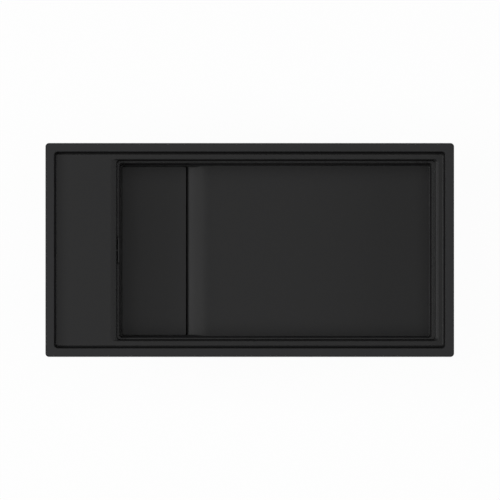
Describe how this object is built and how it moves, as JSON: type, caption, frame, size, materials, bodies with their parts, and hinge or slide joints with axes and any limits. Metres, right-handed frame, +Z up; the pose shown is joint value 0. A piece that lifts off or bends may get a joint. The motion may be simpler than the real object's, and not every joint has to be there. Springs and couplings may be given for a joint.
{
  "type": "kitchen sink",
  "caption": "Rectangular moulded composite sink with a broad deck, tiered ledges, a deep bowl, a loose cover over a hidden drain, an overflow and turning rim clamps.",
  "frame": {"origin": "middle of the worktop opening, in the plane of the worktop's top face, which is the underside of the rim's seal", "axes": "+X along the sink away from the deck and drain, +Y to the back, +Z up"},
  "size_m": [0.86, 0.45, 0.326],
  "materials": {
    "composite": "matte black stone and resin composite, fine grained",
    "rubber": "matte black rubber",
    "stainless_steel": "brushed stainless steel",
    "waste_plastic": "black moulded plastic",
    "hose_plastic": "black ribbed plastic",
    "brass": "turned brass",
    "plated_steel": "zinc plated steel"
  },
  "bodies": {
    "sink": {"sink_bowl": "composite", "rim_seal": "rubber", "waste_flange": "stainless_steel", "flange_seal": "rubber", "body_gasket": "rubber", "waste_body": "waste_plastic", "body_insert": "brass", "centre_screw": "stainless_steel", "overflow_cover": "composite", "overflow_screw": "plated_steel", "overflow_gasket": "rubber", "overflow_housing": "waste_plastic", "overflow_hose": "hose_plastic", "hose_nuts": "waste_plastic", "hose_seals": "rubber", "clamp_inserts": "brass", "clamp_screws": "plated_steel"},
    "cover": {"drain_cover": "composite", "cover_feet": "rubber"},
    "strainer": {"strainer_basket": "stainless_steel", "basket_seal": "rubber", "strainer_knob": "stainless_steel"},
    "clamp_1": {"clamp_1": "plated_steel"},
    "clamp_2": {"clamp_2": "plated_steel"},
    "clamp_3": {"clamp_3": "plated_steel"},
    "clamp_4": {"clamp_4": "plated_steel"},
    "clamp_5": {"clamp_5": "plated_steel"},
    "clamp_6": {"clamp_6": "plated_steel"},
    "clamp_7": {"clamp_7": "plated_steel"},
    "clamp_8": {"clamp_8": "plated_steel"}
  },
  "joints": [
    {"name": "cover_lift", "type": "slide", "parent": "sink", "child": "cover", "axis": [0, 0, 1], "range_m": [0, 0.25]},
    {"name": "strainer_lift", "type": "slide", "parent": "sink", "child": "strainer", "axis": [0, 0, 1], "range_m": [0, 0.008]},
    {"name": "clamp_1_turn", "type": "hinge", "parent": "sink", "child": "clamp_1", "pos_m": [-0.3, 0.20702, -0.05], "axis": [0, 0, 1], "range_deg": [0, 90]},
    {"name": "clamp_2_turn", "type": "hinge", "parent": "sink", "child": "clamp_2", "pos_m": [0, 0.20702, -0.05], "axis": [0, 0, 1], "range_deg": [0, 90]},
    {"name": "clamp_3_turn", "type": "hinge", "parent": "sink", "child": "clamp_3", "pos_m": [0.3, 0.20702, -0.05], "axis": [0, 0, 1], "range_deg": [0, 90]},
    {"name": "clamp_4_turn", "type": "hinge", "parent": "sink", "child": "clamp_4", "pos_m": [-0.3, -0.20702, -0.05], "axis": [0, 0, 1], "range_deg": [0, 90]},
    {"name": "clamp_5_turn", "type": "hinge", "parent": "sink", "child": "clamp_5", "pos_m": [0, -0.20702, -0.05], "axis": [0, 0, 1], "range_deg": [0, 90]},
    {"name": "clamp_6_turn", "type": "hinge", "parent": "sink", "child": "clamp_6", "pos_m": [0.3, -0.20702, -0.05], "axis": [0, 0, 1], "range_deg": [0, 90]},
    {"name": "clamp_7_turn", "type": "hinge", "parent": "sink", "child": "clamp_7", "pos_m": [-0.40852, 0, -0.05], "axis": [0, 0, 1], "range_deg": [0, 90]},
    {"name": "clamp_8_turn", "type": "hinge", "parent": "sink", "child": "clamp_8", "pos_m": [0.40852, 0, -0.05], "axis": [0, 0, 1], "range_deg": [0, 90]}
  ]
}
